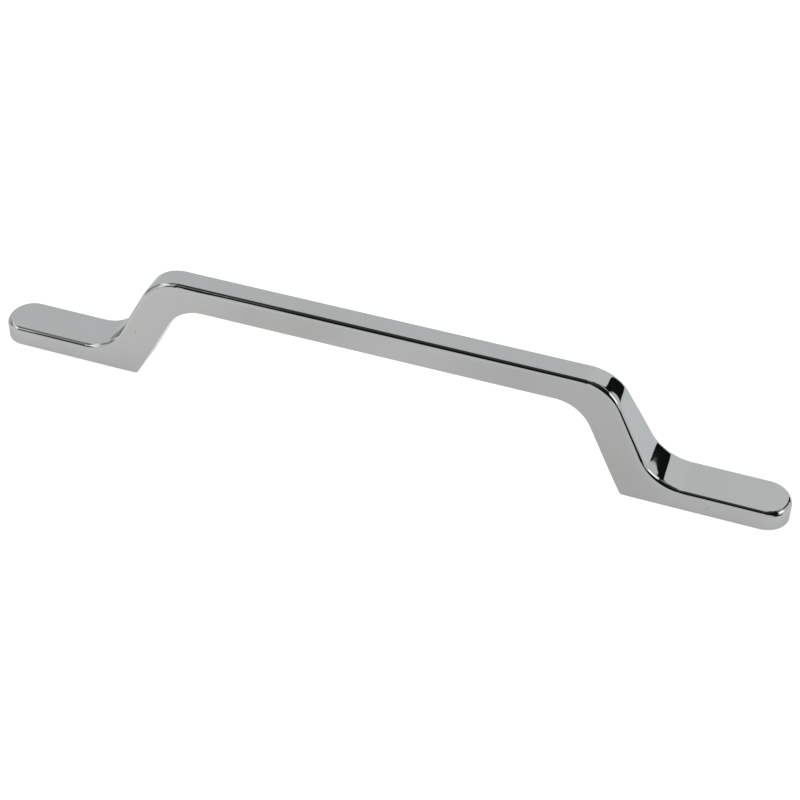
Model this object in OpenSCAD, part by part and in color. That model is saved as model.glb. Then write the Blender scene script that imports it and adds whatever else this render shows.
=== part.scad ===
// Bow-shaped cabinet handle, die-cast in one piece and chrome-plated.
// Two long flat feet with half-round tips lie on the door, two leaning legs rise from them,
// and a narrow straight bridge joins the legs. Two screws come up through the door into
// blind tapped holes at the roots of the legs.
// Millimetres. X runs along the handle, Y across it, and Z = 0 is the door's face.

/* [Screw holes] */
// Distance between the centres of the two screw holes
hole_spacing = 128; // [96:32:224]
// Radius of each hole at the crests of its fine M4 thread
hole_r = 1.65; // [1.2:0.05:2]
// Depth of each hole's straight wall
hole_depth = 8; // [6:0.5:8.5]
// Width of the chamfer round each hole's mouth
mouth_chamfer = 0.4; // [0.2:0.1:0.8]

/* [Feet] */
// Width of a foot, which ends in a full half circle
foot_w = 11.8; // [10:0.2:20]
// Thickness of a foot
foot_t = 5.2; // [4:0.2:8]
// Reach of a foot from its screw hole to its tip
foot_reach = 34.5; // [28:0.5:60]

/* [Legs] */
// Thickness of a leg, square to its slope
leg_t = 8.9; // [8.5:0.1:12]
// Lean of a leg from upright, towards the middle
leg_lean = 29; // [20:1:35]
// Distance from a screw hole back to the leg's inner edge on the door
heel = 3.2; // [2.6:0.1:5]
// Length over which a foot's width narrows to the bridge's width
flare_l = 30; // [20:1:36]
// Lean from upright of the lines across a leg along which its width is the same
flare_lean = 30; // [0:5:60]
// Distance past a screw hole, on the door, at which the foot has its full width
flare_past_hole = 1; // [-2:0.5:6]

/* [Bridge] */
// Height of the bridge's top above the door
height = 28.4; // [26:0.2:40]
// Thickness of the bridge from its top to its underside
bridge_t = 7.1; // [5:0.1:9]
// Width of the bridge
bridge_w = 6.7; // [5:0.1:9.5]

/* [Bends and edges] */
// Radius of the hollow bend where a leg runs out into its foot
foot_bend_r = 11.5; // [6:0.5:16]
// Radius of the outer bend where the bridge turns down into a leg
shoulder_r = 11; // [6:0.5:16]
// Radius of the inner bend in the corner of the finger gap
finger_bend_r = 10; // [4:0.5:16]
// Radius of the rounded edge that runs all round the upper side
edge_r = 1.6; // [0.5:0.1:2.2]

/* [Hidden] */

// Steps along each stretch of the handle, from the middle out to a tip
bridge_steps = 3;
bend_steps = 12;
leg_steps = 5;
foot_steps = 3;
tip_steps = 12;
// Steps up the flat sides and round the upper edge
side_steps = 5;
edge_steps = 6;
hole_facets = 48;
// Half the angle of the drill point at the end of each hole
drill_half_angle = 59;
// How far a cut runs on past the face that it opens
overcut = 1;

hole_x = hole_spacing / 2;
tip_r = foot_w / 2;
tip_x = hole_x + foot_reach - tip_r;

// The legs' two faces are parallel and lean by leg_lean, so each turns the profile by turn
turn = 90 - leg_lean;
heel_x = hole_x - heel;
leg_level_w = leg_t / cos(leg_lean);
function inner_face_x(z) = heel_x - z * tan(leg_lean);
function outer_face_x(z) = inner_face_x(z) + leg_level_w;

gap_h = height - bridge_t;
shoulder = [outer_face_x(height), height];
instep = [outer_face_x(foot_t), foot_t];
gap_corner = [inner_face_x(gap_h), gap_h];

// A bend is cut back where its wall is too short for it
leg_half = (height - foot_t) / cos(leg_lean) / 2;
function bend_reach(r, room) = min(r * tan(turn / 2), room);
shoulder_reach = bend_reach(shoulder_r, min(leg_half, shoulder[0]));
instep_reach = bend_reach(foot_bend_r, min(leg_half, tip_x - instep[0]));
gap_reach = bend_reach(finger_bend_r, min(gap_h / cos(leg_lean), gap_corner[0]));

function bend_radius(reach) = reach / tan(turn / 2);
function slope_dir(a) = [sin(a), cos(a)];
function mix(a, b, t) = a + (b - a) * t;

shoulder_centre = [shoulder[0] - shoulder_reach, height - bend_radius(shoulder_reach)];
instep_centre = [instep[0] + instep_reach, foot_t + bend_radius(instep_reach)];
gap_centre = [gap_corner[0] - gap_reach, gap_h - bend_radius(gap_reach)];

function shoulder_at(a) = shoulder_centre + bend_radius(shoulder_reach) * slope_dir(a);
function instep_at(a) = instep_centre - bend_radius(instep_reach) * slope_dir(a);
function gap_at(a) = gap_centre + bend_radius(gap_reach) * slope_dir(a);

// Half the handle's width at a point [x, z] of its profile: the foot's, then an S-shaped
// flare that runs slantwise up the leg, then the bridge's
function ease(t) = t * t * (3 - 2 * t);
function slant(p) = p[0] * cos(flare_lean) - p[1] * sin(flare_lean);
flare_end = slant([hole_x + flare_past_hole, 0]);
function flare_share(p) = min(max(1 - (flare_end - slant(p)) / flare_l, 0), 1);
function half_w(p) = mix(bridge_w, foot_w, ease(flare_share(p))) / 2;

// Stations from the middle to a tip. Each holds a point on the upper profile, the angle of
// the surface there from level, the point below it on the lower profile, and how far the
// outline has turned round the tip.
stations = concat(
    [for (i = [0:bridge_steps - 1]) let (t = i / bridge_steps)
        [[t * shoulder_centre[0], height], 0, [t * gap_centre[0], gap_h], 0]],
    [for (i = [0:bend_steps]) let (a = turn * i / bend_steps)
        [shoulder_at(a), a, gap_at(a), 0]],
    [for (i = [1:leg_steps]) let (t = i / leg_steps)
        [mix(shoulder_at(turn), instep_at(turn), t), turn, mix(gap_at(turn), [heel_x, 0], t), 0]],
    [for (i = [1:bend_steps]) let (t = i / bend_steps, a = turn * (1 - t))
        [instep_at(a), a, [mix(heel_x, instep_centre[0], t), 0], 0]],
    [for (i = [1:foot_steps]) let (x = mix(instep_centre[0], tip_x, i / foot_steps))
        [[x, foot_t], 0, [x, 0], 0]],
    [for (i = [1:tip_steps]) [[tip_x, foot_t], 0, [tip_x, 0], 90 * i / tip_steps]]
);
last = len(stations) - 1;

// Rings of the skin, as [share of the way up the flat side, angle round the upper edge]
rings = concat(
    [for (i = [0:side_steps]) [i / side_steps, 0]],
    [for (i = [1:edge_steps]) [1, 90 * i / edge_steps]]
);

// A point of the skin. end is -1 at the left and 1 at the right, and side is -1 at the front
// and 1 at the back.
function skin_point(station, ring, end, side) =
    let (
        drop = edge_r * (1 - sin(ring[1])),
        rim = station[0] - drop * slope_dir(station[1]),
        p = mix(station[2], rim, ring[0]),
        out = half_w(p) - edge_r * (1 - cos(ring[1]))
    )
    [end * (p[0] + out * sin(station[3])), side * out * cos(station[3]), p[1]];

// One ring of points: along the front from the left tip to the right one, and back behind
function ring_points(ring) = concat(
    [for (i = [last:-1:0]) skin_point(stations[i], ring, -1, -1)],
    [for (i = [1:last]) skin_point(stations[i], ring, 1, -1)],
    [for (i = [last - 1:-1:0]) skin_point(stations[i], ring, 1, 1)],
    [for (i = [1:last - 1]) skin_point(stations[i], ring, -1, 1)]
);
ring_n = 4 * last;

// Two triangles for each cell between a ring and the next one up
function wall_faces() = [
    for (k = [0:len(rings) - 2], j = [0:ring_n - 1])
        let (a = k * ring_n + j, b = k * ring_n + (j + 1) % ring_n, c = b + ring_n, d = a + ring_n)
            each [[a, c, b], [a, d, c]]
];

// Strips straight across the handle close a ring, seen from above or from below
function cap_faces(k, from_above) = [
    for (j = [0:2 * last - 1])
        let (
            a = k * ring_n + j,
            b = a + 1,
            c = k * ring_n + ring_n - j - 1,
            d = k * ring_n + (ring_n - j) % ring_n,
            strip = j == 0 ? [a, c, b] : j == 2 * last - 1 ? [a, d, b] : [a, d, c, b]
        )
            from_above ? strip : [for (n = [len(strip) - 1:-1:0]) strip[n]]
];

// The cast blank: one smooth skin from tip to tip
module blank() {
    polyhedron(
        points = [for (ring = rings) each ring_points(ring)],
        faces = concat(
            wall_faces(),
            cap_faces(len(rings) - 1, true),
            cap_faces(0, false)
        ),
        convexity = 6
    );
}

// A blind screw hole with a drill point, and a chamfer at its mouth
module screw_hole() {
    mouth_r = hole_r + mouth_chamfer;
    translate([0, 0, -overcut])
        cylinder(r = hole_r, h = hole_depth + overcut, $fn = hole_facets);
    translate([0, 0, hole_depth])
        cylinder(r1 = hole_r, r2 = 0, h = hole_r / tan(drill_half_angle), $fn = hole_facets);
    translate([0, 0, -overcut])
        cylinder(r1 = mouth_r + overcut, r2 = hole_r, h = mouth_chamfer + overcut, $fn = hole_facets);
}

module handle() {
    color("silver")
        difference() {
            blank();
            for (end = [-1, 1])
                translate([end * hole_x, 0, 0])
                    screw_hole();
        }
}

handle();
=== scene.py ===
# %% [markdown]
# # A chrome-plated cabinet handle
# The real handle is one zinc casting with two long feet, two leaning legs and a narrow bridge.
# It is polished and plated, so its look is mostly what it mirrors. This lesson builds the
# skin by a rule, cuts two tapped holes in its feet, gives it a chrome finish with the small
# faults of a real one, and then sets up the studio that it mirrors.
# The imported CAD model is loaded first. It is the frame that everything else is placed in.

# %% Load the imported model
import math

import bmesh
import bpy
from mathutils import Matrix, Vector


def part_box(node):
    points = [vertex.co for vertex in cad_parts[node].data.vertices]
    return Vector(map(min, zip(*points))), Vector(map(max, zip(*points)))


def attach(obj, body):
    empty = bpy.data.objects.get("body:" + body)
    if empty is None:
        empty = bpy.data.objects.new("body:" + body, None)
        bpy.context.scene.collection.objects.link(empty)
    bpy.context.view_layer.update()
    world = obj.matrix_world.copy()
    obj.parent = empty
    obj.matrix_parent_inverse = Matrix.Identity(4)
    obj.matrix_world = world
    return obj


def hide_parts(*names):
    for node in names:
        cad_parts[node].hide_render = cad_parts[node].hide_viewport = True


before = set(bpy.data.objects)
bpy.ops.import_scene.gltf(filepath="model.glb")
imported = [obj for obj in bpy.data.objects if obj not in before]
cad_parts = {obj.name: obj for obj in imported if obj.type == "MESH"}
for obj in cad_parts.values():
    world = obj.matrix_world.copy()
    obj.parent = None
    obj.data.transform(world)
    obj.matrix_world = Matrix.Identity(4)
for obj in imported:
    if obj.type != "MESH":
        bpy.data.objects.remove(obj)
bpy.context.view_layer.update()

# %% [markdown]
# ## Units
# Blender works in metres here, and a maker of handles thinks in millimetres. Every size
# below is a number of millimetres times MM, so it can be read as on a drawing.

# %% A millimetre in metres
MM = 0.001
lowest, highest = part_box("handle")
print("handle:", [round(size / MM, 2) for size in highest - lowest], "mm")

# %% [markdown]
# ## The camera
# The camera stands in front of the handle, a little to the right, and looks down at it from
# about 40 cm. A camera that close makes the near end look clearly larger than the far one.
# Its place could be found by trial, but here it was worked out from the handle's own edges,
# so it is written as two angles, a small roll, a distance and a sideways step.

# %% Place the camera
camera_turn = math.radians(18.837)
camera_rise = math.radians(40.915)
camera_roll = math.radians(1.150)
camera_distance = 391.19 * MM
step_right = 5.396 * MM
step_up = 3.855 * MM
focal_length_px = 1636.93
picture_width_px = 800
sensor_width = 36.0

back = Vector((
    math.sin(camera_turn) * math.cos(camera_rise),
    -math.cos(camera_turn) * math.cos(camera_rise),
    math.sin(camera_rise),
))
level_right = Vector((math.cos(camera_turn), math.sin(camera_turn), 0))
level_up = back.cross(level_right)
right = level_right * math.cos(camera_roll) + level_up * math.sin(camera_roll)
up = level_up * math.cos(camera_roll) - level_right * math.sin(camera_roll)
eye = back * camera_distance + right * step_right + up * step_up

camera = bpy.data.objects.new("camera", bpy.data.cameras.new("camera"))
bpy.context.scene.collection.objects.link(camera)
camera.matrix_world = Matrix.Translation(eye) @ Matrix((right, up, back)).transposed().to_4x4()
camera.data.sensor_width = sensor_width
camera.data.lens = focal_length_px * sensor_width / picture_width_px
camera.data.clip_start = 10 * MM
bpy.context.scene.camera = camera
print("camera at", [round(c / MM, 1) for c in eye], "mm, lens", round(camera.data.lens, 2), "mm")

# %% [markdown]
# ## Sizes of the casting
# These are the casting's driving sizes. The CAD model has the same ones. Four more are too
# fine for it. The lower edges are only just broken, and so is the corner of each heel. The
# polishing wheel has left the upper face 0.03 mm higher in its middle than at its rim, and
# the round wall of each tip leans in by 0.2 mm towards its top, so that the casting leaves
# its mould.

# %% Write down the sizes
hole_x = 64 * MM
foot_width = 11.8 * MM
foot_thickness = 5.2 * MM
foot_reach = 34.5 * MM
leg_thickness = 8.9 * MM
leg_lean = math.radians(29)
heel = 3.2 * MM
height = 28.4 * MM
bridge_thickness = 7.1 * MM
bridge_width = 6.7 * MM
flare_length = 30 * MM
flare_lean = math.radians(30)
flare_past_hole = 1 * MM

instep_radius = 11.5 * MM
shoulder_radius = 11 * MM
gap_radius = 10 * MM
upper_edge_radius = 1.6 * MM
lower_edge_radius = 0.2 * MM
heel_radius = 0.8 * MM
crown_height = 0.03 * MM
crown_lean = math.radians(3)
tip_draft = 0.2 * MM

turn = math.radians(90) - leg_lean
tip_radius = foot_width / 2
tip_x = hole_x + foot_reach - tip_radius
heel_x = hole_x - heel
gap_height = height - bridge_thickness
print("the profile turns by", round(math.degrees(turn)), "degrees at each bend")

# %% [markdown]
# ## Two guide lines
# Seen from the front, the casting lies between an upper line and a lower one. Each is made
# of straights and arcs. They could be drawn as curves, but the skin needs to know at each
# step which point of one line faces which point of the other. So the lines are worked out
# as stations, from the middle out to a tip. A station holds the upper point, the lower
# point, how far each surface leans from level, and how far the outline has turned in plan.
# Stations crowd together at the ends of the straights, so that a flat face stays exactly
# flat in its mirror image right up to the bend.

# %% Work out the corners and the bends' centres
def leaning(angle):
    """The direction square to a surface that leans by this angle, as x and z."""
    return Vector((math.sin(angle), math.cos(angle)))


def crowd(share):
    """Even shares from 0 to 1, crowded towards both ends."""
    return share ** 3 * (share * (share * 6 - 15) + 10)


def inner_face_x(z):
    return heel_x - z * math.tan(leg_lean)


def outer_face_x(z):
    return inner_face_x(z) + leg_thickness / math.cos(leg_lean)


bend_share = math.tan(turn / 2)
shoulder_centre = Vector((
    outer_face_x(height) - shoulder_radius * bend_share,
    height - shoulder_radius,
))
instep_centre = Vector((
    outer_face_x(foot_thickness) + instep_radius * bend_share,
    foot_thickness + instep_radius,
))
gap_centre = Vector((
    inner_face_x(gap_height) - gap_radius * bend_share,
    gap_height - gap_radius,
))
heel_centre = Vector((heel_x + heel_radius * bend_share, heel_radius))
print("bend centres in mm:", [tuple(round(c / MM, 2) for c in centre)
                              for centre in (shoulder_centre, instep_centre, gap_centre)])

# %% Walk along the guide lines
straight_steps = 12
bend_steps = 30
heel_steps = 8
tip_steps = 28


def straight(start, end, first):
    """Crowded shares along a straight, without the point that the stretch before it ended on."""
    return [start.lerp(end, crowd(i / straight_steps)) for i in range(first, straight_steps + 1)]


stations = []
for top, low in zip(
    straight(Vector((0, height)), Vector((shoulder_centre.x, height)), 0),
    straight(Vector((0, gap_height)), Vector((gap_centre.x, gap_height)), 0),
):
    stations.append((top, low, 0, 0, 0))
for i in range(1, bend_steps + 1):
    lean = turn * i / bend_steps
    over = shoulder_centre + shoulder_radius * leaning(lean)
    under = gap_centre + gap_radius * leaning(lean)
    stations.append((over, under, lean, lean, 0))
leg_top = instep_centre - instep_radius * leaning(turn)
leg_foot = heel_centre - heel_radius * leaning(turn)
for top, low in zip(
    straight(stations[-1][0], leg_top, 1),
    straight(stations[-1][1], leg_foot, 1),
):
    stations.append((top, low, turn, turn, 0))
for i in range(1, bend_steps + 1):
    lean = turn * (1 - i / bend_steps)
    over = instep_centre - instep_radius * leaning(lean)
    if i <= heel_steps:
        heel_lean = turn * (1 - i / heel_steps)
        under = heel_centre - heel_radius * leaning(heel_lean)
    else:
        heel_lean = 0
        along = (i - heel_steps) / (bend_steps - heel_steps)
        under = Vector((heel_centre.x, 0)).lerp(Vector((instep_centre.x, 0)), along)
    stations.append((over, under, lean, heel_lean, 0))
for top, low in zip(
    straight(Vector((instep_centre.x, foot_thickness)), Vector((tip_x, foot_thickness)), 1),
    straight(Vector((instep_centre.x, 0)), Vector((tip_x, 0)), 1),
):
    stations.append((top, low, 0, 0, 0))
for i in range(1, tip_steps + 1):
    stations.append((stations[-1][0], stations[-1][1], 0, 0, math.radians(90) * i / tip_steps))
print(len(stations), "stations from the middle to a tip")

# %% Keep the guide lines as a mesh with attributes
guide = bpy.data.meshes.new("handle_casting_guide")
guide.from_pydata([(top.x, 0, top.y) for top, *rest in stations], [], [])
lower_point = guide.attributes.new("lower_point", "FLOAT_VECTOR", "POINT")
leans = guide.attributes.new("leans", "FLOAT_VECTOR", "POINT")
for i, (top, low, upper_lean, lower_lean, plan_turn) in enumerate(stations):
    lower_point.data[i].vector = (low.x, 0, low.y)
    leans.data[i].vector = (upper_lean, lower_lean, plan_turn)
casting = bpy.data.objects.new("handle_casting", guide)
bpy.context.scene.collection.objects.link(casting)
print("guide mesh with", len(guide.vertices), "points")

# %% [markdown]
# ## A short way to write node trees
# A node tree is easier to read as sums than as boxes and wires. The class Wire stands for
# one output socket. A sum of Wires and numbers adds its Math nodes by itself, and the
# reflected forms let a number come first, as in 1 - mask. The class Bench makes every
# other node by one method. Shader trees and geometry trees both take these nodes.

# %% A socket that can be added and multiplied
class Wire:
    def __init__(self, bench, socket):
        self.bench, self.socket = bench, socket

    def math(self, operation, *values):
        inputs = dict(enumerate(values))
        return self.bench.node("ShaderNodeMath", {"operation": operation}, inputs)

    def __add__(self, other):
        return self.math("ADD", self, other)

    def __radd__(self, other):
        return self.math("ADD", other, self)

    def __sub__(self, other):
        return self.math("SUBTRACT", self, other)

    def __rsub__(self, other):
        return self.math("SUBTRACT", other, self)

    def __mul__(self, other):
        return self.math("MULTIPLY", self, other)

    def __rmul__(self, other):
        return self.math("MULTIPLY", other, self)

    def __truediv__(self, other):
        return self.math("DIVIDE", self, other)

    def sin(self):
        return self.math("SINE", self)

    def cos(self):
        return self.math("COSINE", self)

    def abs(self):
        return self.math("ABSOLUTE", self)

    def root(self):
        return self.math("SQRT", self)

    def arcsine(self):
        return self.math("ARCSINE", self)

    def arctan2(self, other):
        return self.math("ARCTAN2", self, other)

    def rounded(self):
        return self.math("ROUND", self)

    def lower_of(self, other):
        return self.math("MINIMUM", self, other)

    def higher_of(self, other):
        return self.math("MAXIMUM", self, other)


# %% A tree that makes any node by one method
class Bench:
    def __init__(self, tree):
        self.tree = tree
        tree.nodes.clear()

    def node(self, kind, settings=None, inputs=None, output=0):
        """Make a node, set it, fill or link its inputs, and hand back one of its outputs."""
        made = self.tree.nodes.new(kind)
        for name, value in (settings or {}).items():
            setattr(made, name, value)
        for name, value in (inputs or {}).items():
            if isinstance(value, Wire):
                self.tree.links.new(value.socket, made.inputs[name])
            elif value is not None:
                made.inputs[name].default_value = value
        return Wire(self, made.outputs[output]) if len(made.outputs) else made

    def ranged(self, value, low, high, start=0.0, end=1.0, kind="LINEAR"):
        """Value from low to high, spread over start to end, and clamped."""
        inputs = {"Value": value, "From Min": low, "From Max": high, "To Min": start, "To Max": end}
        return self.node("ShaderNodeMapRange", {"interpolation_type": kind}, inputs)

    def mixed(self, share, first, second):
        """The first colour where the share is 0, and the second where it is 1."""
        inputs = {0: share, 6: first, 7: second}
        return self.node("ShaderNodeMix", {"data_type": "RGBA"}, inputs, output=2)

    def parts(self, vector):
        """A vector's x, y and z."""
        split = self.node("ShaderNodeSeparateXYZ", {}, {0: vector})
        return [Wire(self, socket) for socket in split.socket.node.outputs]

    def vector(self, x, y, z):
        return self.node("ShaderNodeCombineXYZ", {}, {"X": x, "Y": y, "Z": z})


print("Wire and Bench are ready")

# %% Geometry trees with named inputs
SOCKETS = {
    "length": "NodeSocketFloat",
    "angle": "NodeSocketFloat",
    "count": "NodeSocketInt",
    "material": "NodeSocketMaterial",
}


def geometry_bench(name, inputs):
    """A geometry tree with named inputs, each a kind of SOCKETS. Hands back a Wire for each."""
    tree = bpy.data.node_groups.new(name, "GeometryNodeTree")
    tree.interface.new_socket("Geometry", in_out="INPUT", socket_type="NodeSocketGeometry")
    tree.interface.new_socket("Geometry", in_out="OUTPUT", socket_type="NodeSocketGeometry")
    for label, kind in inputs.items():
        tree.interface.new_socket(label, in_out="INPUT", socket_type=SOCKETS[kind])
    bench = Bench(tree)
    entry = bench.node("NodeGroupInput").socket.node
    wires = {socket.name: Wire(bench, socket) for socket in entry.outputs if socket.name}
    return bench, wires


def finish_tree(bench, shape, material):
    """Every tree ends in Realize Instances and Set Material."""
    real = bench.node("GeometryNodeRealizeInstances", {}, {"Geometry": shape})
    painted = bench.node("GeometryNodeSetMaterial", {}, {"Geometry": real, "Material": material})
    bench.node("NodeGroupOutput", {}, {"Geometry": painted})


def run_tree(piece, tree, values):
    """Give the piece the tree's modifier with these values, and bake the result into its mesh."""
    modifier = piece.modifiers.new(tree.name, "NODES")
    modifier.node_group = tree
    for item in tree.interface.items_tree:
        if item.in_out == "INPUT" and item.name in values:
            modifier[item.identifier] = values[item.name]
    bake(piece)


def bake(piece):
    """Turn what the modifiers make into the piece's own mesh, and remove them."""
    evaluated = piece.evaluated_get(bpy.context.evaluated_depsgraph_get())
    mesh = bpy.data.meshes.new_from_object(evaluated)
    mesh.name = piece.name
    piece.modifiers.clear()
    piece.data = mesh


print("geometry trees can be made and baked")

# %% [markdown]
# ## The casting's skin
# One quarter of the skin is a flat grid of points that is bent into place. Its columns are
# the stations. Its rows go round half a section: out along the underside, round the lower
# edge, up the side, round the upper edge, and in along the top. A mesh could be typed out
# point by point, or a cube could be cut and bevelled, but the bevel would break where the
# legs flare out into the feet. A rule keeps the edge's radius the same everywhere.
# The width grows from the bridge's to the foot's on an S-shaped flare that slants across
# the leg, so the heel already has the foot's full width.
# The quarter is mirrored to both ends and both sides, and its seams are merged.

# %% Find each grid point's station and its place in the section
LOFT_INPUTS = {
    "Stations": "count", "Underside steps": "count", "Lower edge steps": "count",
    "Side steps": "count", "Upper edge steps": "count", "Top steps": "count",
    "Lower edge radius": "length", "Upper edge radius": "length",
    "Crown height": "length", "Crown lean": "angle",
    "Tip draft": "length", "Foot thickness": "length",
    "Bridge width": "length", "Foot width": "length",
    "Flare length": "length", "Flare end": "length", "Flare lean": "angle",
    "Material": "material",
}
loft, size = geometry_bench("handle_casting_loft", LOFT_INPUTS)
edge_low = size["Underside steps"]
side_low = edge_low + size["Lower edge steps"]
side_high = side_low + size["Side steps"]
edge_high = side_high + size["Upper edge steps"]
last_row = edge_high + size["Top steps"]
last_station = size["Stations"] - 1
grid = loft.node("GeometryNodeMeshGrid", {}, {
    "Size X": last_station, "Size Y": last_row,
    "Vertices X": size["Stations"], "Vertices Y": last_row + 1,
})
flat_x, flat_y = loft.parts(loft.node("GeometryNodeInputPosition"))[:2]
station = (flat_x + last_station / 2).rounded()
row = flat_y + last_row / 2
print("grid of", len(stations), "stations")

# %% Read the guide lines at that station
def at_station(attribute):
    """The guide's vector attribute at this point's station, as x, y and z."""
    if attribute is None:
        field = loft.node("GeometryNodeInputPosition")
    else:
        field = loft.node("GeometryNodeInputNamedAttribute", {"data_type": "FLOAT_VECTOR"},
                          {"Name": attribute})
    settings = {"data_type": "FLOAT_VECTOR", "domain": "POINT"}
    inputs = {"Geometry": size["Geometry"], "Value": field, "Index": station}
    return loft.parts(loft.node("GeometryNodeSampleIndex", settings, inputs))


upper_x, unused_y, upper_z = at_station(None)
lower_x, unused_y, lower_z = at_station("lower_point")
upper_lean, lower_lean, plan_turn = at_station("leans")
quarter_turn = math.radians(90)
lower_round = loft.ranged(row, edge_low, side_low, quarter_turn, 0)
rim_turn = quarter_turn - size["Crown lean"]
upper_round = loft.ranged(row, side_high, edge_high, 0, rim_turn)
side_share = loft.ranged(row, side_low, side_high, kind="SMOOTHERSTEP")
underside_span = loft.ranged(row, 0, edge_low, kind="SMOOTHERSTEP")
top_span = loft.ranged(row, edge_high, last_row, 1, 0, kind="SMOOTHERSTEP")
print("the tree reads two guide lines")

# %% Bend the grid into one quarter of the skin
lower_drop = size["Lower edge radius"] * (1 - lower_round.sin())
out_from_middle = top_span * top_span
crown_drop = size["Crown height"] * out_from_middle * out_from_middle
upper_drop = size["Upper edge radius"] * (rim_turn.sin() - upper_round.sin()) + crown_drop
low_x = lower_x + lower_drop * lower_lean.sin()
low_z = lower_z + lower_drop * lower_lean.cos()
high_x = upper_x - upper_drop * upper_lean.sin()
high_z = upper_z - upper_drop * upper_lean.cos()
point_x = low_x + (high_x - low_x) * side_share
point_z = low_z + (high_z - low_z) * side_share

slant = point_x * size["Flare lean"].cos() - point_z * size["Flare lean"].sin()
flare_share = loft.ranged(slant, size["Flare end"] - size["Flare length"], size["Flare end"],
                          kind="SMOOTHSTEP")
width = size["Bridge width"] + (size["Foot width"] - size["Bridge width"]) * flare_share
lower_inset = size["Lower edge radius"] * (1 - lower_round.cos())
upper_inset = size["Upper edge radius"] * (1 - upper_round.cos())
round_tip = plan_turn.sin() * plan_turn.sin()
draft = size["Tip draft"] * round_tip * point_z / size["Foot thickness"]
reach = (width / 2 - lower_inset - upper_inset - draft) * underside_span.lower_of(top_span)
skin_point = loft.vector(
    point_x + reach * plan_turn.sin(),
    0 - reach * plan_turn.cos(),
    point_z,
)
print("the quarter's points are worked out by", len(loft.tree.nodes), "nodes")

# %% Mirror the quarter, close the seams and bake the skin
def mirrored(shape, scale, flip):
    """A copy of the shape, scaled by 1 or -1 along each axis, with its faces kept outwards."""
    copied = loft.node("GeometryNodeTransform", {}, {"Geometry": shape, "Scale": scale})
    return loft.node("GeometryNodeFlipFaces", {}, {"Mesh": copied}) if flip else copied


quarter = loft.node("GeometryNodeSetPosition", {}, {"Geometry": grid, "Position": skin_point})
quarters = [
    quarter,
    mirrored(quarter, (-1, 1, 1), True),
    mirrored(quarter, (1, -1, 1), True),
    mirrored(quarter, (-1, -1, 1), False),
]
whole = loft.node("GeometryNodeJoinGeometry")
for one in quarters:
    loft.tree.links.new(one.socket, whole.socket.node.inputs["Geometry"])
seam_gap = 0.001 * MM
closed = loft.node("GeometryNodeMergeByDistance", {}, {"Geometry": whole, "Distance": seam_gap})
smooth = loft.node("GeometryNodeSetShadeSmooth", {}, {"Geometry": closed, "Shade Smooth": True})
finish_tree(loft, smooth, size["Material"])

chrome = bpy.data.materials.new("chrome_plate")
run_tree(casting, loft.tree, {
    "Stations": len(stations), "Underside steps": 6, "Lower edge steps": 5,
    "Side steps": 12, "Upper edge steps": 12, "Top steps": 10,
    "Lower edge radius": lower_edge_radius, "Upper edge radius": upper_edge_radius,
    "Crown height": crown_height, "Crown lean": crown_lean,
    "Tip draft": tip_draft, "Foot thickness": foot_thickness,
    "Bridge width": bridge_width, "Foot width": foot_width,
    "Flare length": flare_length, "Flare lean": flare_lean,
    "Flare end": (hole_x + flare_past_hole) * math.cos(flare_lean),
    "Material": chrome,
})
print("skin:", len(casting.data.vertices), "points,", len(casting.data.polygons), "faces")

# %% [markdown]
# ## The tapped holes
# A screw comes up through the door into each foot. Its hole is drilled with a 3.3 mm drill,
# which leaves a cone at the end, and then cut with an M4 thread of 0.7 mm pitch. The drilled
# hole is a profile turned about its axis and taken away from the skin by a Boolean.

# %% Turn the cutter's profile
thread_radius = 2.0 * MM
drill_radius = 1.65 * MM
mouth_radius = 2.05 * MM
thread_depth = 7 * MM
hole_depth = 8 * MM
overcut = 1 * MM
drill_half_angle = math.radians(59)
drill_tip = hole_depth + drill_radius / math.tan(drill_half_angle)
hole_profile = [
    (mouth_radius, -overcut),
    (mouth_radius, 0),
    (thread_radius, mouth_radius - thread_radius),
    (thread_radius, thread_depth),
    (drill_radius, thread_depth + thread_radius - drill_radius),
    (drill_radius, hole_depth),
    (0, drill_tip),
]
hole_facets = 64


def turned(profile, facets, centre):
    """Points and faces of a solid turned about an upright axis, closed at both ends."""
    points, faces = [], []
    for radius, z in profile[:-1]:
        for j in range(facets):
            angle = 2 * math.pi * j / facets
            points.append((centre + radius * math.cos(angle), radius * math.sin(angle), z))
    points.append((centre, 0, profile[-1][1]))
    faces.append(list(reversed(range(facets))))
    for ring in range(len(profile) - 2):
        for j in range(facets):
            near, far = ring * facets + j, ring * facets + (j + 1) % facets
            faces.append([near, far, far + facets, near + facets])
    last_ring = (len(profile) - 2) * facets
    for j in range(facets):
        faces.append([last_ring + j, last_ring + (j + 1) % facets, len(points) - 1])
    return points, faces


print("drill tip at", round(drill_tip / MM, 2), "mm above the door")

# %% Drill both feet
points, faces = [], []
for centre in (-hole_x, hole_x):
    more_points, more_faces = turned(hole_profile, hole_facets, centre)
    faces += [[n + len(points) for n in face] for face in more_faces]
    points += more_points
drill_mesh = bpy.data.meshes.new("drill")
drill_mesh.from_pydata(points, [], faces)
drill = bpy.data.objects.new("drill", drill_mesh)
bpy.context.scene.collection.objects.link(drill)
cut = casting.modifiers.new("screw holes", "BOOLEAN")
cut.operation = "DIFFERENCE"
cut.solver = "EXACT"
cut.object = drill
bake(casting)
bpy.data.objects.remove(drill)
print("after drilling:", len(casting.data.polygons), "faces")

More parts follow.
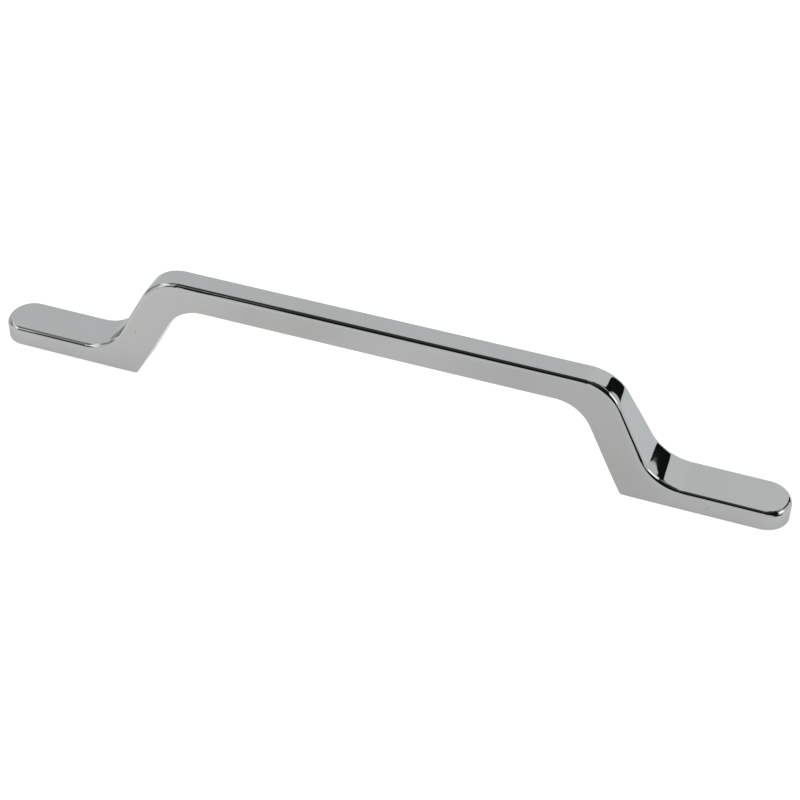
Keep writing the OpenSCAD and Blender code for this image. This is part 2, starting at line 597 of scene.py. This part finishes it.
# %% Keep the holes' rims crisp and the skin smooth
crisp_angle = math.radians(38)
shape = bmesh.new()
shape.from_mesh(casting.data)
bmesh.ops.remove_doubles(shape, verts=shape.verts, dist=seam_gap / 10)
bmesh.ops.recalc_face_normals(shape, faces=shape.faces)
open_edges = sum(not edge.is_manifold for edge in shape.edges)
volume = shape.calc_volume(signed=True)
for face in shape.faces:
    face.smooth = True
shape.to_mesh(casting.data)
shape.free()
casting.data.set_sharp_from_angle(angle=crisp_angle)
print("volume:", round(volume / MM ** 3), "cubic mm, open edges:", open_edges)

# %% [markdown]
# ## The screw threads
# A thread is one ridge that follows a helix. Geometry Nodes sweep a small trapezoid along a
# spiral. The node's own spiral is left-handed, so it is reversed: a normal screw needs a
# right-hand thread. The ridge is sunk a hair into the wall, and its size fades to nothing at
# both ends, as a tap leaves it. The same ridge is then placed in both holes.

# %% Build the thread's tree
THREAD_INPUTS = {
    "Hole spacing": "length", "Root radius": "length", "Crest radius": "length",
    "Root width": "length", "Crest width": "length", "Bottom": "length", "Top": "length",
    "Turns": "length", "Steps per turn": "count", "Run-out share": "length",
    "Material": "material",
}
thread, size = geometry_bench("screw_thread", THREAD_INPUTS)
spiral = thread.node("GeometryNodeCurveSpiral", {}, {
    "Resolution": size["Steps per turn"], "Rotations": size["Turns"],
    "Start Radius": size["Root radius"], "End Radius": size["Root radius"],
    "Height": size["Top"] - size["Bottom"], "Reverse": True,
})
upright = thread.node("GeometryNodeSetCurveNormal", {"mode": "Z_UP"}, {"Curve": spiral})
along = thread.node("GeometryNodeSplineParameter", output="Factor")
fade = thread.ranged(along, 0, size["Run-out share"]).lower_of(
    thread.ranged(along, 1 - size["Run-out share"], 1, 1, 0))
inwards = size["Crest radius"] - size["Root radius"]
ridge = thread.node("GeometryNodeCurvePrimitiveQuadrilateral", {"mode": "POINTS"}, {
    "Point 1": thread.vector(0, size["Root width"] / 2, 0),
    "Point 2": thread.vector(inwards, size["Crest width"] / 2, 0),
    "Point 3": thread.vector(inwards, 0 - size["Crest width"] / 2, 0),
    "Point 4": thread.vector(0, 0 - size["Root width"] / 2, 0),
})
swept = thread.node("GeometryNodeCurveToMesh", {}, {
    "Curve": upright, "Profile Curve": ridge, "Scale": fade, "Fill Caps": True,
})
print("the thread's tree has", len(thread.tree.nodes), "nodes")

# %% Place a thread in each hole
start_point = thread.vector(0 - size["Hole spacing"] / 2, 0, size["Bottom"])
step = thread.vector(size["Hole spacing"], 0, 0)
places = thread.node("GeometryNodeMeshLine", {"mode": "OFFSET"}, {
    "Count": 2, "Start Location": start_point, "Offset": step,
})
both = thread.node("GeometryNodeInstanceOnPoints", {}, {"Points": places, "Instance": swept})
finish_tree(thread, both, size["Material"])

pitch = 0.7 * MM
sunk = 0.02 * MM
ridge_root_width = 0.63 * MM
ridge_crest_width = 0.2 * MM
thread_bottom = 0.4 * MM
thread_top = 6.9 * MM
threads = bpy.data.objects.new("screw_threads", bpy.data.meshes.new("screw_threads"))
bpy.context.scene.collection.objects.link(threads)
run_tree(threads, thread.tree, {
    "Hole spacing": 2 * hole_x,
    "Root radius": thread_radius + sunk, "Crest radius": drill_radius,
    "Root width": ridge_root_width, "Crest width": ridge_crest_width,
    "Bottom": thread_bottom, "Top": thread_top, "Turns": (thread_top - thread_bottom) / pitch,
    "Steps per turn": 40, "Run-out share": 0.06, "Material": chrome,
})
print("threads:", len(threads.data.polygons), "faces")

# %% [markdown]
# ## The chrome
# Chrome plate is a thin, hard, bright metal on polished zinc. Its colour is an even grey and
# everything else in its look is mirrored, so the shader is one Principled BSDF, fully metallic.
# What makes it real is how little it varies. The polishing wheel leaves a very low waviness,
# which bends the edges of what it mirrors. The plate itself adds a finer ripple. Handling adds
# a thin haze in patches, which blurs and dims the mirror a little. Chromium brightens only a
# little where it is seen edge-on, so the Specular Tint, its grey at that angle, is not white.
# All of it could be drawn on an image, but noise in object coordinates needs no unwrapping,
# and its size is in metres, like the handle's.

# %% Wave the plate
chrome.use_nodes = True
plate = Bench(chrome.node_tree)
place = plate.node("ShaderNodeTexCoord", output="Object")


def noise(scale, detail, vector=place):
    """Noise from 0 to 1 with this many waves to the metre."""
    return plate.node("ShaderNodeTexNoise", {"noise_dimensions": "3D"},
                      {"Vector": vector, "Scale": scale, "Detail": detail}, output="Fac")


waves_per_metre = 160
ripples_per_metre = 520
wheel_waves = noise(waves_per_metre, 1)
wheel_height = 0.004 * MM
plate_ripple = noise(ripples_per_metre, 0)
ripple_height = 0.0016 * MM
print("waves every", round(1000 / waves_per_metre, 1), "mm")
print("ripple every", round(1000 / ripples_per_metre, 1), "mm")

# %% [markdown]
# ## Small marks
# The handle has been held, but not used. There is a pinhole in the plate on the left leg and
# a short scratch on the right foot. The fine hairlines run along the handle, as the last wheel
# left them, and only a close look shows them. Each mark is worked out from its distance to a
# point or to a line.

# %% Place the pinhole and the scratch
along, across, upwards = plate.parts(place)
pinhole_x = -60.2 * MM
pinhole_z = 12.5 * MM
pinhole_radius = 0.24 * MM
scratch_x = 80.5 * MM
scratch_z = 2.3 * MM
scratch_slope = math.radians(38)
scratch_half_length = 0.9 * MM
scratch_half_width = 0.09 * MM
on_front = plate.ranged(across, -4.6 * MM, -4.4 * MM, 1, 0)


def distance(first, second):
    """How far two offsets, square to each other, take a point."""
    return (first * first + second * second).root()


def mark(how_far, core, rim):
    """1 up to the core's distance, fading to 0 at the rim's, on the front wall only."""
    return plate.ranged(how_far, core, rim, 1, 0, kind="SMOOTHSTEP") * on_front


from_pinhole = distance(along - pinhole_x, upwards - pinhole_z)
pinhole = mark(from_pinhole, pinhole_radius * 0.4, pinhole_radius)
off_x = along - scratch_x
off_z = upwards - scratch_z
scratch_along = off_x * math.cos(scratch_slope) + off_z * math.sin(scratch_slope)
scratch_across = off_z * math.cos(scratch_slope) - off_x * math.sin(scratch_slope)
past_end = (scratch_along.abs() - scratch_half_length).higher_of(0)
scratch = mark(distance(past_end, scratch_across), 0, scratch_half_width)
marks = pinhole.higher_of(scratch)
print("pinhole", round(2 * pinhole_radius / MM, 2), "mm wide")
print("scratch", round(2 * scratch_half_length / MM, 2), "mm long")

# %% Spread the haze and the hairlines
haze_patches_per_metre = 55
hairlines_per_metre = 9000
hairline_stretch = 20
haze = plate.ranged(noise(haze_patches_per_metre, 3), 0.48, 0.72)
stretched = plate.vector(along * (1 / hairline_stretch), across, upwards)
hairlines = plate.ranged(noise(hairlines_per_metre, 0, stretched), 0.70, 0.80)
clear_grey = (0.457, 0.460, 0.458, 1)
hazy_grey = (0.440, 0.442, 0.438, 1)
mark_grey = (0.16, 0.15, 0.14, 1)
mark_strength = 0.75
plated = plate.mixed(haze, clear_grey, hazy_grey)
marked = plate.mixed(marks * mark_strength, plated, mark_grey)
clear_roughness = 0.030
haze_roughness = 0.030
hairline_roughness = 0.020
mark_roughness = 0.25
roughness = clear_roughness + haze * haze_roughness + hairlines * hairline_roughness
roughness = roughness + marks * mark_roughness
print("roughness from", clear_roughness, "in clear plate to",
      round(clear_roughness + haze_roughness + hairline_roughness, 3), "in haze and hairlines")

# %% Join them in one shader
mark_depth = 0.02 * MM
relief_height = wheel_waves * wheel_height + plate_ripple * ripple_height - marks * mark_depth
relief = plate.node("ShaderNodeBump", {}, {"Height": relief_height, "Strength": 1, "Distance": 1})
edge_tint = (0.8, 0.8, 0.8, 1)
surface = plate.node("ShaderNodeBsdfPrincipled", {}, {
    "Base Color": marked, "Metallic": 1, "Roughness": roughness,
    "Specular Tint": edge_tint, "Normal": relief,
})
plate.node("ShaderNodeOutputMaterial", {}, {"Surface": surface})
print("the chrome's tree has", len(chrome.node_tree.nodes), "nodes")

# %% Hand the pieces to the frame
for piece in (casting, threads):
    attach(piece, "root")
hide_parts("handle")
print("the casting stands for the CAD node, and both pieces are chrome-plated")

# %% [markdown]
# ## The floor
# The handle lies on a sheet of white paper. Photographers light such a sheet until it goes
# fully white, and here it does that by its own glow, so no extra light falls on the handle.
# A small diffuse share still takes the lamps' light, and so it keeps a faint shadow under
# the feet. The sheet ends 26 cm away on both sides, where the chrome begins to mirror the
# room.

# %% Lay the sheet of paper
sheet_left, sheet_right, sheet_half_depth = -0.26, 0.26, 1.5
sheet_turn = math.radians(-11)
sheet_corners = []
for x, y in ((sheet_left, -1), (sheet_right, -1), (sheet_right, 1), (sheet_left, 1)):
    corner = Vector((x, y * sheet_half_depth, 0))
    sheet_corners.append(Matrix.Rotation(sheet_turn, 3, "Z") @ corner)
sheet_mesh = bpy.data.meshes.new("paper_sheet")
sheet_mesh.from_pydata(sheet_corners, [], [[0, 1, 2, 3]])
sheet = bpy.data.objects.new("paper_sheet", sheet_mesh)
bpy.context.scene.collection.objects.link(sheet)
print("paper from", sheet_left, "to", sheet_right, "m")

# %% [markdown]
# ## The paper in the mirror
# The mirror shows how uneven the light on a sheet of paper is. In front of the handle it is
# lighter towards the left and round the feet's ends, with two soft shades below the bridge.
# Behind the handle it is cooler, and lighter towards the right. Small lamps could shade it
# so, but they would light the handle too. So the sheet's glow follows the place on it, in
# metres, and only mirrored rays see that.

# %% Ask what kind of ray looks at the paper
paper = bpy.data.materials.new("white_paper")
paper.use_nodes = True
page = Bench(paper.node_tree)
page_x, page_y = page.parts(page.node("ShaderNodeTexCoord", output="Object"))[:2]


def kinds_of_ray(bench):
    """1 for a ray that comes from the camera, and 1 for one that a mirror or glass sends on."""
    rays = bench.node("ShaderNodeLightPath").socket.node.outputs
    glossy = Wire(bench, rays["Is Glossy Ray"])
    through = Wire(bench, rays["Is Transmission Ray"])
    return Wire(bench, rays["Is Camera Ray"]), glossy.higher_of(through)


seen, mirrored_ray = kinds_of_ray(page)
print("the paper knows the camera's rays from the mirror's")

# %% Shade the paper for the mirror
def page_between(value, low, high, soft):
    rising = page.ranged(value, low - soft / 2, low + soft / 2, kind="SMOOTHSTEP")
    return rising * page.ranged(value, high - soft / 2, high + soft / 2, 1, 0, kind="SMOOTHSTEP")


middle_level = 0.905
fall_per_metre = 0.6
lift_near_ends = 0.15
near_ends = page.ranged(page_x.abs(), 0.09, 0.12) * page.ranged(page_y.abs(), 0.02, 0.04, 1, 0)
front_level = middle_level - page_x * fall_per_metre * (1 - near_ends) + near_ends * lift_near_ends

# Painted shade: the paper's mirrored glow dips a little just right of the middle.
shade_dip = page_between(page_x, 0.025, 0.070, 0.02)
further_out = page.ranged(page_y, -0.030, -0.024, 1, 0)
left_shade = page_between(page_x, -0.052, -0.014, 0.02)
right_shade = page_between(page_x, 0.010, 0.030, 0.014)
front_level = front_level - shade_dip * 0.06 - (left_shade + right_shade) * further_out * 0.07

back_rise = page.ranged(page_x, -0.05, 0.06, 0.875, 1.01)
back_level = back_rise - page.ranged(page_x, 0.06, 0.26, 0, 0.09)
at_back = page.ranged(page_y, -0.012, 0.010)
mirror_level = front_level + (back_level - front_level) * at_back
print("the paper in the mirror is", middle_level, "of white at its middle")

# %% [markdown]
# ## A black card
# Photographers lay black cards beside chrome, so that its edges stand out against the white.
# The card here is a painted reflection: a patch of the paper at the front right is black for
# mirrored rays only, while the camera sees plain white paper there. It draws the dark
# line down the right leg's edge. It could be a piece of its own, but a patch of the paper
# that stays dark is simpler and hides itself. It starts 15 mm past the foot's place, its
# back edge runs almost along the handle, and its front edge slants forwards.

# %% Lay the card and join the paper's shader
foot_place = 0.100
past_foot = page_x - foot_place
back_of_card = page.ranged(page_y + 0.006 + past_foot * 0.08, -0.003, 0.003, 1, 0)
front_of_card = page.ranged(page_y + 0.030 + past_foot * 0.98, -0.006, 0.006)
# Painted reflection: the card darkens the paper only where a mirrored ray looks at it.
mirror_only_card = back_of_card * front_of_card * page.ranged(past_foot, 0.015, 0.021)
shown = 1 - mirror_only_card * mirrored_ray

diffuse_share = 0.3
glow_seen = 0.84
front_tint = (1, 1, 0.985, 1)
back_tint = (0.965, 1.015, 1.03, 1)
white = (1, 1, 1, 1)
glow = (seen * glow_seen + mirrored_ray * (mirror_level - diffuse_share)) * shown
page_grey = diffuse_share * shown
page_colour = page.node("ShaderNodeCombineColor", {}, {0: page_grey, 1: page_grey, 2: page_grey})
lit = page.node("ShaderNodeBsdfDiffuse", {}, {"Color": page_colour})
glow_colour = page.mixed(mirrored_ray, white, page.mixed(at_back, front_tint, back_tint))
glowing = page.node("ShaderNodeEmission", {}, {"Color": glow_colour, "Strength": glow})
page_surface = page.node("ShaderNodeAddShader", {}, {0: lit, 1: glowing})
page.node("ShaderNodeOutputMaterial", {}, {"Surface": page_surface})
sheet_mesh.materials.append(paper)
print("the paper's tree has", len(paper.node_tree.nodes), "nodes")

# %% [markdown]
# ## The studio in the mirror
# A polished handle is a picture of the room. The room could be built from real boards and
# boxes, but they would have to hide from the camera in every view. It is painted on the
# world instead, by direction, and a direction is given by three angles: how far it is to the
# right of the front, how high it rises, and how far it is rolled up from the front horizon
# about the handle's own length. Each thing in the room is a soft-edged patch in these angles.

# %% Measure directions in degrees
world = bpy.data.worlds.new("studio")
bpy.context.scene.world = world
world.use_nodes = True
room = Bench(world.node_tree)
toward_x, toward_y, toward_z = room.parts(room.node("ShaderNodeTexCoord", output="Generated"))
to_degrees = 180 / math.pi
toward_front = 0 - toward_y
side = toward_x.arctan2(toward_front) * to_degrees
rise = toward_z.arcsine() * to_degrees
roll = toward_z.arctan2(toward_front) * to_degrees


def above(value, edge, soft):
    return room.ranged(value - edge, -soft / 2, soft / 2, kind="SMOOTHSTEP")


def below(value, edge, soft):
    return room.ranged(value - edge, -soft / 2, soft / 2, 1, 0, kind="SMOOTHSTEP")


def between(value, low, high, soft):
    return above(value, low, soft) * below(value, high, soft)


print("three angles for each direction")

# %% [markdown]
# ## The cloth and its gap
# White cloth hangs all round, a little paler behind. At the front it has a long dark gap for
# the camera, parallel to the handle, which makes the black line on the bridge's edge. The
# gap is less black above and fades towards its left end. A row of small lights there makes
# the fine light strokes in that line. To the right its lower edge falls to the floor.
# A patch is a product of soft steps. Each has an edge and a softness, in degrees, or in
# shares of toward_x, which runs from -1 at the far left to 1 at the far right.

# %% Hang the cloth
cloth = (0.905, 0.925, 0.935, 1)
paler_cloth = (0.975, 0.995, 1.0, 1)
picture = room.node("ShaderNodeRGB")
picture.socket.default_value = cloth


def grey(level):
    return (level, level, level, 1)


def paint(patch, colour):
    """Lay a colour over the picture where the patch is 1."""
    return room.mixed(patch, picture, colour)


paler_back = room.ranged(toward_x, -0.20, 0.10, kind="SMOOTHSTEP") * above(side.abs(), 140, 10)
picture = paint(paler_back, paler_cloth)
print("cloth at", cloth[1], "of white")

# %% Leave the gap for the camera
black = (0.008, 0.011, 0.010, 1)
dim = (0.065, 0.067, 0.070, 1)
near_left = room.ranged(toward_x, -0.375, -0.355, 1, 0)
gap_low = 23 - near_left * 11 + room.ranged(toward_x, -0.10, -0.055) * 10
gap_high = 92 - (toward_x + 0.3).abs() * 65 + room.ranged(toward_x, -0.12, -0.07) * 8
front_gap = above(roll, gap_low, 5) * below(roll, gap_high, 6) * between(toward_x, -0.41, 0.05, 0.03)
gap_wing = between(roll, 22, 88, 8) * between(toward_x, -0.62, -0.40, 0.04)
wing_core = between(roll, 20, 44, 6) * between(toward_x, -0.65, -0.40, 0.04)
left_arc = between(side, -84, -56, 10) * between(rise, 46, 62, 6)
picture = paint(gap_wing * 0.55, black)
picture = paint(wing_core * 0.9, black)
picture = paint(left_arc * 0.65, black)
picture = paint(front_gap, black)
picture = paint(front_gap * above(roll, 56, 14), dim)
print("the gap rises from about 23 to 92 degrees")

# %% Light the gap's left end
light_spacing = 0.0056
light_wave = (toward_x * (2 * math.pi / light_spacing) - 1.1).sin()
light_row = between(toward_x, -0.374, -0.350, 0.006)
small_lights = room.ranged(light_wave, 0, 0.8) * light_row
glint = between(roll, 48, 57, 4) * between(toward_x, -0.42, -0.325, 0.03)
end_glint = between(roll, 37, 58, 10) * between(toward_x, -0.59, -0.452, 0.014)
picture = paint(glint * 0.25, cloth)
picture = paint(glint * small_lights * 0.7, cloth)
picture = paint(end_glint * 0.6, grey(1.3))
print("about", round((0.374 - 0.350) / light_spacing), "small lights in the gap")

# %% Let the gap fall to the right
falling_edge = 28 + room.ranged(side, 4, 20, 5, 0) - side * side * side * 0.0002
gap_right = room.ranged(rise, 1, 10, 86, 66) + (rise - 37).higher_of(0) * 1.3
right_gap = above(rise, falling_edge, 5) * below(rise, 79, 10)
right_gap = right_gap * above(side, 4, 4) * below(side, gap_right, 4)
picture = paint(right_gap, black)
picture = paint(right_gap * above(rise, 58, 14), dim)
print("the gap ends between 66 and 86 degrees to the right")

# %% [markdown]
# ## The dark frame
# A dark arch stands at the right, worn pale on top, with a post beside it. The arch is the
# room between two ovals, and the post has a sloping top with one rounded corner. They draw
# the dark curves in the right foot's bend and round its tip.

# %% Paint the arch and the post
frame_side = (side - 102).abs()
frame_rise = rise.higher_of(0)


def oval(half_width, height_in_degrees):
    """How far a direction is from the frame's middle, as a share of an oval's size."""
    return distance(frame_side / half_width, frame_rise / height_in_degrees)


dark_frame = below(oval(46, 71), 1, 0.06) * above(oval(35, 43), 1, 0.06) * above(rise, 20, 4)
worn_top = between(side, 94, 142, 12) * between(rise, 46, 64, 8)
picture = paint(dark_frame * (1 - worn_top * 0.55), black)
post_edge = 136.7 + rise * 0.13
round_corner = (side - 146).higher_of(0)
post_top = 26.3 + (148.1 - side) * 1.55 - round_corner * round_corner * 0.2
post = above(side, post_edge, 0.6) * below(side, 152, 2)
post = post * below(rise, post_top, 2) * above(rise, -9, 1)
picture = paint(post, black)
print("the arch spans 56 to 148 degrees to the right")

# %% [markdown]
# ## The softboxes and the furniture
# A softbox hangs in the arch. At the left hang two more and a pale wall, with grey furniture
# under them. Each is an upright patch, so a table holds them and a loop paints them.

# %% Paint the upright patches
UPRIGHT_PATCHES = (
    # what it is, side from, to and softness, rise from, to and softness, share, colour
    ("softbox in the arch", (76, 100, 6), (19, 42, 6), 1, grey(2.3)),
    ("grey furniture", (-110, -74, 12), (-2, 30, 6), 0.4, (0.30, 0.31, 0.32, 1)),
    ("dark stand", (-96, -78, 6), (3, 27, 5), 0.55, grey(0.10)),
    ("low chest", (-111, -95, 8), (-9, 5, 5), 0.7, (0.20, 0.21, 0.21, 1)),
    ("pale wall", (-101, -64, 5), (31, 41.5, 4), 1, grey(1.35)),
    ("softbox at the left", (-66, -46, 5), (31, 42, 4), 1, grey(2.0)),
    ("low strip light", (-60, -42, 6), (19, 27, 4), 1, grey(1.6)),
)
for what, side_span, rise_span, share, colour in UPRIGHT_PATCHES:
    patch = between(side, *side_span) * between(rise, *rise_span)
    picture = paint(patch * share, colour)
    print(what, "painted from", side_span[0], "to", side_span[1], "degrees")
print("the room is painted with", len(world.node_tree.nodes), "nodes")

# %% [markdown]
# ## What each ray sees
# Only mirrored rays see this picture. The camera sees plain white behind the handle, and
# the paper is lit by plain even light.

# %% Choose what each kind of ray sees
plain_light = grey(0.85)
seen, mirrored_ray = kinds_of_ray(room)
for_light = room.mixed(mirrored_ray, plain_light, picture)
for_camera = room.mixed(seen, for_light, white)
room_light = room.node("ShaderNodeBackground", {}, {"Color": for_camera, "Strength": 1})
room.node("ShaderNodeOutputWorld", {}, {"Surface": room_light})
bpy.context.scene.view_settings.view_transform = "Standard"
print("world:", len(world.node_tree.nodes), "nodes")

# %% [markdown]
# ## The lamps
# Two large soft lamps hang where the softboxes are painted. They are hidden from mirrored
# rays, because the painted boxes stand for them there. What they add is the faint soft
# shadow on the paper.

# %% Hang two soft lamps
lamp_distance = 0.9
lamp_size = 0.6
lamp_power = 3.0
for name, lamp_side, lamp_rise in (("right_softbox", 92, 33), ("left_softbox", -58, 37)):
    lamp_data = bpy.data.lights.new(name, "AREA")
    lamp_data.shape = "SQUARE"
    lamp_data.size = lamp_size
    lamp_data.energy = lamp_power
    turn_angle, rise_angle = math.radians(lamp_side), math.radians(lamp_rise)
    toward = Vector((
        math.sin(turn_angle) * math.cos(rise_angle),
        -math.cos(turn_angle) * math.cos(rise_angle),
        math.sin(rise_angle),
    ))
    lamp = bpy.data.objects.new(name, lamp_data)
    lamp.location = toward * lamp_distance
    lamp.rotation_euler = toward.to_track_quat("Z", "Y").to_euler()
    lamp.visible_glossy = False
    bpy.context.scene.collection.objects.link(lamp)
    print(name, "at", [round(c, 2) for c in lamp.location], "m")
